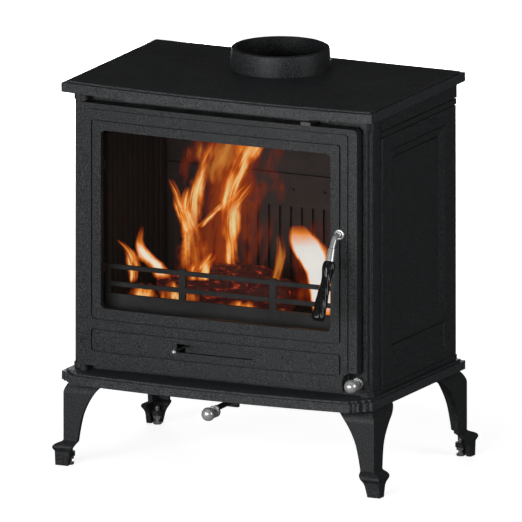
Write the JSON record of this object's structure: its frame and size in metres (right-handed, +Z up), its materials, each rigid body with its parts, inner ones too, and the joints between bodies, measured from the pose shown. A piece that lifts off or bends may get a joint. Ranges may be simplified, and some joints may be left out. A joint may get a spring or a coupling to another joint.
{
  "type": "wood burning stove",
  "caption": "Bow-fronted cast iron wood stove on cabriole legs, with a glazed door, top flue collar, riddling grate and sliding air controls.",
  "frame": {"origin": "centre of the bounding box in plan, on the floor", "axes": "+Z up, -Y the front with the door, +X the user's right when facing the front"},
  "size_m": [0.6346, 0.5036, 0.7295],
  "materials": {
    "cast_iron": "satin",
    "chrome": "polished",
    "grip": "satin",
    "glass": "clear",
    "rope": "matte",
    "dark_steel": "satin",
    "zinc": "satin",
    "liner": "matte",
    "fire_iron": "matte"
  },
  "bodies": {
    "stove": {"top_plate": "cast_iron", "flue_collar": "cast_iron", "collar_screws": "fire_iron", "base_plate": "cast_iron", "front_frame": "cast_iron", "side_panel_right": "cast_iron", "side_panel_left": "cast_iron", "rear_panel": "cast_iron", "tie_rods": "fire_iron", "tie_rod_nuts": "zinc", "leg_bolts": "zinc", "foot_lock_nuts": "zinc", "hinge_brackets": "fire_iron", "latch_keeper": "dark_steel", "keeper_screws": "dark_steel", "airwash_screws": "dark_steel", "airwash_baffle": "fire_iron", "primary_air_bracket": "dark_steel", "air_box": "dark_steel", "air_box_screws": "dark_steel", "riddling_bush": "chrome", "grate_frame": "fire_iron", "liner_right": "liner", "liner_left": "liner", "liner_rear": "liner", "baffle_plate": "fire_iron", "ash_pan": "dark_steel", "ash_pan_handle": "dark_steel", "leg_front_left": "cast_iron", "leg_front_right": "cast_iron", "leg_rear_left": "cast_iron", "leg_rear_right": "cast_iron"},
    "door": {"door_frame": "cast_iron", "door_glass": "glass", "glass_seal": "rope", "glass_clips": "dark_steel", "glass_screws": "dark_steel", "door_rope": "rope", "hinge_pins": "dark_steel", "handle_ring": "chrome", "slider_guides": "dark_steel"},
    "handle": {"handle_stem": "chrome", "handle_grip": "grip", "latch_tongue": "dark_steel", "spindle_nut": "dark_steel"},
    "air_slider": {"air_slider_plate": "dark_steel", "air_slider_rod": "dark_steel", "air_slider_tip": "chrome"},
    "airwash": {"airwash_slide": "dark_steel"},
    "primary_air": {"primary_air_bar": "dark_steel", "primary_air_knob": "chrome"},
    "riddler": {"riddling_knob": "chrome", "riddling_rod": "dark_steel", "riddling_grate": "fire_iron"},
    "guard": {"log_guard": "fire_iron"},
    "leveller_front_left": {"levelling_bolt_front_left": "zinc"},
    "leveller_front_right": {"levelling_bolt_front_right": "zinc"},
    "leveller_rear_left": {"levelling_bolt_rear_left": "zinc"},
    "leveller_rear_right": {"levelling_bolt_rear_right": "zinc"}
  },
  "joints": [
    {"name": "door_hinge", "type": "hinge", "parent": "stove", "child": "door", "pos_m": [-0.262, -0.14125, 0.42], "axis": [0, 0, -1], "range_deg": [0, 110]},
    {"name": "handle_turn", "type": "hinge", "parent": "door", "child": "handle", "pos_m": [0.241, -0.16125, 0.4688], "axis": [0, -1, 0], "range_deg": [0, 80]},
    {"name": "air_slider_slide", "type": "slide", "parent": "door", "child": "air_slider", "axis": [1, 0, 0], "range_m": [0, 0.11]},
    {"name": "airwash_slide_slide", "type": "slide", "parent": "stove", "child": "airwash", "axis": [1, 0, 0], "range_m": [-0.028, 0]},
    {"name": "primary_air_pull", "type": "slide", "parent": "stove", "child": "primary_air", "axis": [0, -1, 0], "range_m": [0, 0.04]},
    {"name": "riddler_pull", "type": "slide", "parent": "stove", "child": "riddler", "axis": [0, -1, 0], "range_m": [0, 0.03]},
    {"name": "guard_lift", "type": "slide", "parent": "stove", "child": "guard", "axis": [0, 0, 1], "range_m": [0, 0.04]},
    {"name": "leveller_screw_front_left", "type": "slide", "parent": "stove", "child": "leveller_front_left", "axis": [0, 0, -1], "range_m": [0, 0.01]},
    {"name": "leveller_screw_front_right", "type": "slide", "parent": "stove", "child": "leveller_front_right", "axis": [0, 0, -1], "range_m": [0, 0.01]},
    {"name": "leveller_screw_rear_left", "type": "slide", "parent": "stove", "child": "leveller_rear_left", "axis": [0, 0, -1], "range_m": [0, 0.01]},
    {"name": "leveller_screw_rear_right", "type": "slide", "parent": "stove", "child": "leveller_rear_right", "axis": [0, 0, -1], "range_m": [0, 0.01]}
  ]
}
